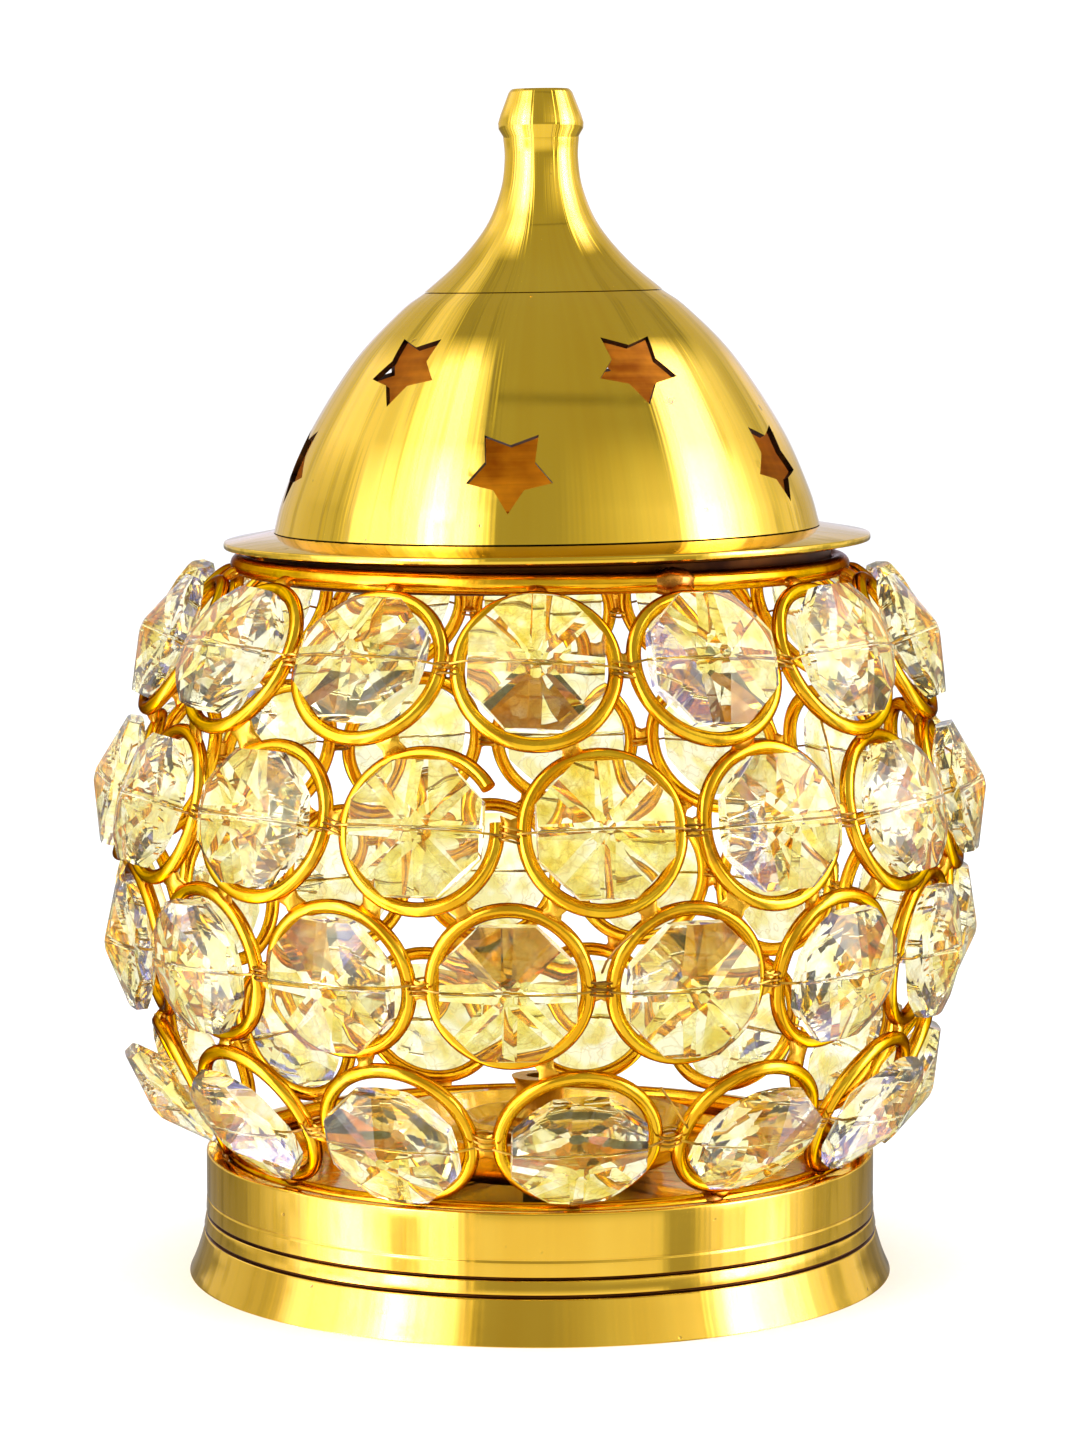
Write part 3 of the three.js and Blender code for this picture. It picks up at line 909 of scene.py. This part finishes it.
def solder_joints():
    """Solder between neighbours in a row, between rows, and at the two hoops."""
    shapes = []
    random = Random(4)
    plain = circle(RING_R * MM, RING_STEPS)
    rings = [[[ring_frame(row, index) @ spot for spot in plain] for index in range(row["count"])]
             for row in ROWS]
    for first, second in ring_pairs(rings):
        distance, i, j = closest(first, second)
        if distance < SOLDER_GAP * MM:
            along = (first[(i + 1) % RING_STEPS] - first[i - 1]).normalized()
            shapes.append(solder_at(first[i], second[j], along, random))
    for row, node, quarters in ((rings[0], "cage_top_hoop", 1), (rings[-1], "cage_bottom_hoop", 3)):
        outer, wire, height = hoop_size(node)
        for ring in row:
            spot = ring[RING_STEPS // 4 * quarters]
            flat = Vector((spot.x, spot.y, 0)).normalized()
            target = flat * (outer - wire) + Vector((0, 0, height))
            shapes.append(solder_at(spot, target, flat.cross(Vector((0, 0, 1))), random))
    made = mesh_object("solder_joints", *merged(shapes), SOLDER)
    fit(smooth(made, 50), "cage", "gilt_wire")


def solder_at(start, end, along, random):
    """One fillet from wire to wire."""
    across = end - start
    gap = max(0.1, across.length / MM - 2 * RING_WIRE_R)
    x = across.normalized()
    y = (along - x * along.dot(x)).normalized()
    place = Matrix((x, y, x.cross(y))).transposed().to_4x4()
    place.translation = (start + end) / 2
    vertices, faces = solder_shape(gap, random.uniform(1.1, 1.7))
    return [place @ v for v in vertices], faces


def wire_ends():
    """Loose ends of lacing wire beside some joints, and a stray length between two rows."""
    ends = [
        (2, 0.5, [(0.0, 1.8, 1.2), (0.3, 3.2, 1.9), (1.2, 4.6, 2.2), (2.8, 6.0, 2.0)]),
        (3, 1.5, [(1.7, 1.6, 1.2), (0.6, 3.2, 1.9), (-0.8, 5.2, 1.8), (-2.3, 7.2, 1.2)]),
        (1, 1.47, [(0.0, 3.0, 1.0), (-0.1, 7.0, 1.3), (0.1, 11.3, 0.6)]),
        (0, 2.5, [(0.2, 0.4, 1.6), (0.9, 1.3, 2.2), (2.1, 1.5, 2.3)]),
        (2, 6.5, [(0.0, -1.2, 1.2), (-0.6, -2.8, 2.0), (-1.9, -3.9, 2.1)]),
    ]
    shapes = []
    for number, index, corners in ends:
        place = ring_frame(ROWS[number], index)
        path = [place @ (Vector(corner) * MM) for corner in corners]
        shapes.append(tube_mesh(path, LACING_R * MM, 6))
    made = mesh_object("loose_wire_ends", *merged(shapes), LACING)
    fit(smooth(made, 60), "cage", "gilt_wire")


def solder_lumps():
    """Lumps of solder that close the two hoops: azimuth in degrees, length and thickness in mm."""
    random = Random(6)
    work = bmesh.new()
    for node, azimuth, length, thickness in (("cage_top_hoop", 24.5, 2.8, 1.5),
                                             ("cage_bottom_hoop", 32, 1.6, 1.15)):
        outer, wire, height = hoop_size(node)
        place = (Matrix.Rotation(math.radians(azimuth), 4, "Z")
                 @ Matrix.Translation((0, wire - outer, height))
                 @ Matrix.Diagonal((length * MM, thickness * MM, thickness * MM, 1)))
        ball = bmesh.ops.create_icosphere(work, subdivisions=3, radius=1.0)["verts"]
        for vertex in ball:
            vertex.co *= random.uniform(0.95, 1.05)
        bmesh.ops.transform(work, matrix=place, verts=ball)
    made = finished(work, "hoop_solder", SCORCHED)
    fit(smooth(made, 70), "cage", "gilt_wire")


def wire_hoop(name, node):
    outer, wire, height = hoop_size(node)
    wire *= 1.02
    shape = tube_mesh(circle(outer - wire, 240, height), wire, 20, closed=True)
    made = mesh_object(name, *shape, GILT)
    fit(smooth(made, 60), "cage", "gilt_wire", node)


# ---- lid


def settle_lid(piece):
    """Sets a lid piece down the way the loose lid lies on its hoop."""
    pivot = Vector((0, 0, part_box("lid_flange")[0].z))
    lean = Matrix.Rotation(LID_LEAN, 4, "Y")
    place = Matrix.Translation(pivot + LID_SHIFT) @ lean @ Matrix.Translation(-pivot)
    piece.data.transform(place)
    return piece


def lid_flange():
    """The brim, with the seat and collar under it."""
    foot = foot_of("lid_flange")
    seat = foot + SEAT_DEPTH
    edge = BRIM_EDGE
    outline = [(29.5, foot), (30.4, foot), (30.4, seat), (SEAT_R, seat), (SEAT_R + 0.3, edge),
               (BRIM_R, edge - 0.1), (BRIM_R, edge + 0.6), (29.3, edge + 1.5),
               (28.2, edge + 1.5), (28.2, seat + 0.6), (29.5, seat)]
    made = turned("lid_brim", eased(outline, 0.22), LID_BRASS, 288)
    # The collar, its seat and the inner underside of the brim get near-black brass: painted shade
    # under the brim.
    paint(made, SHADED_BRASS, lambda radius, height: radius < 33.2 and height < edge + 0.2)
    fit(settle_lid(made), "lid", "lid_brass", "lid_flange")


def dome_line():
    return through([(29.2, foot_of("lid_dome") - 0.42), (28.1, 84), (25.2, 90.6), (20.2, 98.3),
                    (15.3, 103.4), (DOME_TOP_R, top_of("lid_dome"))], 24)


class DomeProfile:
    """The dome's outside as a line that can be looked up by its length from the foot."""

    def __init__(self):
        self.points = [Vector(p) for p in dome_line()]
        self.lengths = [0.0]
        for a, b in zip(self.points, self.points[1:]):
            self.lengths.append(self.lengths[-1] + (b - a).length)

    def at(self, length):
        """(radius, height) and the outward normal at a length along the line."""
        length = min(max(length, 0.0), self.lengths[-1])
        index = 1
        while self.lengths[index] < length and index < len(self.lengths) - 1:
            index += 1
        a, b = self.points[index - 1], self.points[index]
        share = (length - self.lengths[index - 1]) / (self.lengths[index] - self.lengths[index - 1])
        before = self.points[max(index - 2, 0)]
        after = self.points[min(index + 1, len(self.points) - 1)]
        along = (b - before).normalized() * (1 - share) + (after - a).normalized() * share
        return a.lerp(b, share), Vector((along.y, -along.x)).normalized()

    def length_at(self, height):
        for index, spot in enumerate(self.points):
            if spot.y >= height:
                return self.lengths[index]
        return self.lengths[-1]


def star_outline(profile, height, azimuth):
    """A five-point star, point down, as points on the dome's sheet."""
    middle = profile.length_at(height)
    from_seam = (azimuth - DOME_SEAM) % TAU
    corners = []
    for corner in range(10):
        reach = STAR_R * (STAR_WAIST if corner % 2 else 1)
        turn = TAU * corner / 10 - math.pi / 2
        corners.append(Vector((reach * math.cos(turn), reach * math.sin(turn))))
    outline = []
    for a, b in zip(corners, [*corners[1:], corners[0]]):
        for step in range(4):
            spot = a.lerp(b, step / 4)
            radius = profile.at(middle + spot.y)[0].x
            outline.append(Vector(((from_seam + spot.x / radius) * SHEET_SCALE, middle + spot.y)))
    return outline


def dome_sheet(length, stars):
    """The dome's wall as a flat sheet of triangles, X round it and Y up it, with stars cut out."""
    around = 200
    rows = 34
    points = [Vector((TAU * step / around * SHEET_SCALE, length * row / rows))
              for row in range(rows + 1) for step in range(around + 1)]
    edges = []
    for star in stars:
        start = len(points)
        points += star
        edges += [(start + k, start + (k + 1) % len(star)) for k in range(len(star))]
    foot = range(around + 1)
    top = [rows * (around + 1) + step for step in foot]
    edges += [*zip(foot, foot[1:]), *zip(top, top[1:])]
    made = delaunay_2d_cdt(points, edges, [], 0, 1e-4)
    flat, faces = made[0], made[2]

    def in_a_star(face):
        middle = sum((flat[v] for v in face), Vector((0, 0))) / len(face)
        return any(inside(star, middle) for star in stars)

    return flat, [face for face in faces if not in_a_star(face)]


def lid_dome():
    """The dome's sheet, bent round, with a wall inside it and its stars' cut edges closed."""
    profile = DomeProfile()
    stars = [star_outline(profile, height, math.radians(phase) + TAU * index / STARS_PER_ROW)
             for height, phase in STAR_ROWS for index in range(STARS_PER_ROW)]
    flat, faces = dome_sheet(profile.lengths[-1], stars)
    outer = []
    inner = []
    for spot in flat:
        place, normal = profile.at(spot.y)
        azimuth = spot.x / SHEET_SCALE + DOME_SEAM
        for skin, at in ((outer, place), (inner, place - normal * DOME_WALL)):
            skin.append(Vector((at.x * math.sin(azimuth), -at.x * math.cos(azimuth), at.y)) * MM)
    count = len(outer)
    mesh = bpy.data.meshes.new("dome_shell")
    mesh.from_pydata(outer + inner, [],
                     [list(f) for f in faces] + [[count + v for v in f[::-1]] for f in faces])
    piece = linked("dome_shell", mesh, LID_BRASS, INSIDE_BRASS, PUNCHED_EDGE)
    for face in mesh.polygons[len(faces):]:
        face.material_index = 1
    close_wall(mesh, count)
    fit(settle_lid(smooth(piece, 40)), "lid", "lid_brass", "lid_dome")


def close_wall(mesh, count):
    """Joins the free edges of the outer skin to those of the inner one, then welds the seam."""
    work = bmesh.new()
    work.from_mesh(mesh)
    work.verts.ensure_lookup_table()
    free = [[v.index for v in edge.verts] for edge in work.edges
            if edge.is_boundary and not on_seam(edge)]
    for a, b in free:
        if a < count and b < count:
            corners = [work.verts[index] for index in (a, b, b + count, a + count)]
            work.faces.new(corners).material_index = 2
    bmesh.ops.remove_doubles(work, verts=work.verts, dist=1e-6)
    bmesh.ops.recalc_face_normals(work, faces=work.faces)
    work.to_mesh(mesh)
    work.free()


def on_seam(edge):
    """True for an edge along the sheet's side, where its two ends meet again."""
    low, high = sorted((v.co for v in edge.verts), key=lambda spot: spot.z)
    seam = Vector((math.sin(DOME_SEAM), -math.cos(DOME_SEAM), 0))
    flat = Vector((0, 0, 1)).cross(seam)
    aside = max(abs(low.dot(flat)), abs(high.dot(flat)))
    return high.z - low.z > 1e-6 and aside < 1e-6 and low.dot(seam) > 0


def inside(loop, spot):
    """True if a flat point lies inside a closed outline."""
    hit = False
    for a, b in zip(loop, [*loop[1:], loop[0]]):
        if (a.y > spot.y) != (b.y > spot.y):
            if spot.x < (b.x - a.x) * (spot.y - a.y) / (b.y - a.y) + a.x:
                hit = not hit
    return hit


def lid_finial():
    foot = foot_of("lid_finial") - 0.22
    tip = top_of("lid_finial")
    bell = through([(DOME_TOP_R, foot), (9.1, 108.5), (6, 112.3), (4.4, 116.1), (3.93, 119.3),
                    (4.05, 121.7)], 12)
    collar = [(4.52, 122.5), (4.56, 123.1), (4.3, 124.0), (3.4, 126.3), (3.15, tip - 0.1),
              (3.0, tip)]
    bore = through([(2.3, tip), (2.5, 121), (3.5, 115.8), (5.2, 111.6), (8.4, 107.8),
                    (11.3, foot)], 8)
    made = turned("chimney_finial", [*bell, *collar, *bore], LID_BRASS, 160)
    # The top opening and its lip get near-black brass: painted shade inside the bore.
    paint(made, SHADED_BRASS, lambda radius, height: radius < 2.95 and height > 118)
    fit(settle_lid(made), "lid", "lid_brass", "lid_finial")


# ---- studio


def studio_floor():
    """A wide sheet of white paper. Reflections see the tent's own floor instead."""
    half = 3
    corners = [(-half, -half, 0), (half, -half, 0), (half, half, 0), (-half, half, 0)]
    made = mesh_object("studio_floor", corners, [[0, 1, 2, 3]], studio_paper())
    made.visible_glossy = False


def tent_cloth():
    """The tent's light, by how a piece of polished metal has to face to show it."""
    cloth = Finish("tent_cloth", Roughness=1.0, Base_Color=rgb(0, 0, 0), Emission_Strength=1.0,
                   Specular_IOR_Level=0)
    across, deep, up = cloth.split(cloth.vector_math("NORMALIZE", cloth.place))
    ease = cloth.remap

    def peak(value, centre, half):
        return ease(cloth.math("ABSOLUTE", value - centre), half, 0.0)

    # What a camera straight in front sees in polished metal that faces sideways by `side` degrees
    # and upwards by `tilt` (its sine) comes from this direction.
    facing = 1 - deep
    side = cloth.math("ARCTAN2", across, facing) * (360 / TAU)
    tilt = up / cloth.math("SQRT", across * across + facing * facing + up * up)

    def levels(*stops):
        """Brightness by how far the metal faces sideways, from (degrees, level) stops."""
        most = 12
        ramp = [((degrees + 90) / 180, rgb(*[level / most] * 3)) for degrees, level in stops]
        return cloth.node("ShaderNodeValToRGB", {"stops": ramp}, {0: (side + 90) / 180}) * most

    floor = levels((-90, 0.3), (-60, 0.36), (-55, 0.6), (-47, 1.1), (-39, 2), (-34, 6), (-29, 5),
                   (-25, 1.2), (-21, 1.3), (-18, 3), (-15, 2.4), (-12, 1), (19, 1), (22, 0.42),
                   (26, 0.42), (29, 1.1), (37, 1.9), (42, 2.6), (47, 1.2), (53, 0.55), (64, 0.55),
                   (70, 0.33), (90, 0.25))
    low = levels((-90, 0.8), (-66, 0.8), (-48, 0.65), (-44, 1.8), (-34, 2.3), (-28, 5), (-24, 11),
                 (-20, 6), (-15, 3), (-12.5, 1.2), (-10.5, 0.42), (22, 0.44), (27, 0.6), (30, 3),
                 (34, 11), (39, 7), (45, 3), (50, 1.5), (57, 0.8), (63, 1.1), (70, 0.65),
                 (90, 0.7))
    middle = levels((-90, 0.8), (-66, 0.8), (-60, 1.3), (-50, 1.2), (-42, 0.95), (-36, 1.3),
                    (-28, 2.6), (-22, 3), (-17, 1.4), (-15, 0.8), (-13.5, 0.3), (-11.5, 0.43),
                    (24, 0.42), (26.5, 0.28), (29, 2), (33, 4.5), (40, 4), (46, 1.3), (54, 0.95),
                    (62, 0.55), (70, 1), (90, 0.8))
    upper = levels((-90, 1.1), (-74, 0.75), (-47, 0.62), (-42, 1.1), (-36, 1), (-32, 0.6),
                   (-30, 0.3), (-28, 0.42), (48, 0.43), (50, 0.3), (53, 0.55), (70, 0.75),
                   (90, 0.8))
    patch = ease(tilt, 0.08, 0.16) * ease(tilt, 0.50, 0.32) * ease(side, 2, 22) * ease(side, 29, 26)
    arch = peak(tilt, 0.535, 0.012) * ease(side, -14, -12) * ease(side, 27, 25)
    folds = cloth.noise(1.0, 2, cloth.vector(side * 0.22, 0.0, up * 0.8))
    lines = peak(folds, 0.5, 0.04) * ease(cloth.math("ABSOLUTE", side - 7), 20, 24)
    glow = floor + (low - floor) * ease(tilt, -0.04, 0.03)
    glow = glow + (middle - glow) * ease(tilt, 0.30, 0.46)
    glow = glow + (upper - glow) * ease(tilt, 0.58, 0.69)
    glow = (glow + patch * 0.5 - arch * 0.16) * (1 - 0.35 * lines)
    cool = glow * (1 + 1.5 * ease(glow, 0.6, 2.4))    # the lamps are cooler than the cloth
    cloth.feed("Emission Color", cloth.vector(glow, glow, cool))
    cloth.material.cycles.emission_sampling = "NONE"
    return cloth.material


def studio_tent():
    """A light tent that only reflections see."""
    work = bmesh.new()
    bmesh.ops.create_icosphere(work, subdivisions=5, radius=1.6)
    made = finished(work, "studio_tent", tent_cloth())
    made.data.transform(Matrix.Translation((0, 0, 0.07)))
    for ray in ("camera", "diffuse", "transmission", "shadow", "volume_scatter"):
        setattr(made, f"visible_{ray}", False)


def soft_light(name, place, aim, size, power):
    """A soft box that lights the paper and the inside, but isn't itself reflected."""
    data = bpy.data.lights.new(name, "AREA")
    data.shape = "RECTANGLE"
    data.size, data.size_y = size
    data.energy = power
    lamp = linked(name, data)
    lamp.location = place
    lamp.rotation_euler = (Vector(aim) - Vector(place)).to_track_quat("-Z", "Y").to_euler()
    lamp.visible_camera = False
    lamp.visible_glossy = False


def studio_light():
    middle = (0, 0, 0.06)
    soft_light("key_left", (-0.55, -0.55, 0.45), middle, (0.4, 0.7), 3)
    soft_light("key_right", (0.62, -0.42, 0.40), middle, (0.4, 0.7), 2.5)
    soft_light("overhead", (0, 0, 0.9), middle, (0.8, 0.8), 3)
    world = bpy.data.worlds.new("studio")
    world.use_nodes = True
    background = world.node_tree.nodes["Background"]
    background.inputs["Color"].default_value = rgb(1, 1, 1)
    background.inputs["Strength"].default_value = 1.15
    bpy.context.scene.world = world


def camera():
    data = bpy.data.cameras.new("camera")
    data.sensor_width = 36
    data.lens = CAMERA_LENS
    data.clip_start = 0.02
    made = linked("camera", data)
    made.location = CAMERA_PLACE
    made.rotation_euler = (math.radians(90 - CAMERA_DOWN), 0, 0)
    bpy.context.scene.camera = made


# ---- assembly

camera()
base_stand()
burner_cup()
incense_holder()
fixings()
wire_hoop("bottom_hoop", "cage_bottom_hoop")
wire_hoop("top_hoop", "cage_top_hoop")
ring_rows()
solder_joints()
solder_lumps()
crystal_rows()
lacing()
wire_ends()
lid_flange()
lid_dome()
lid_finial()
studio_floor()
studio_tent()
studio_light()

bpy.context.scene.view_settings.view_transform = "Standard"
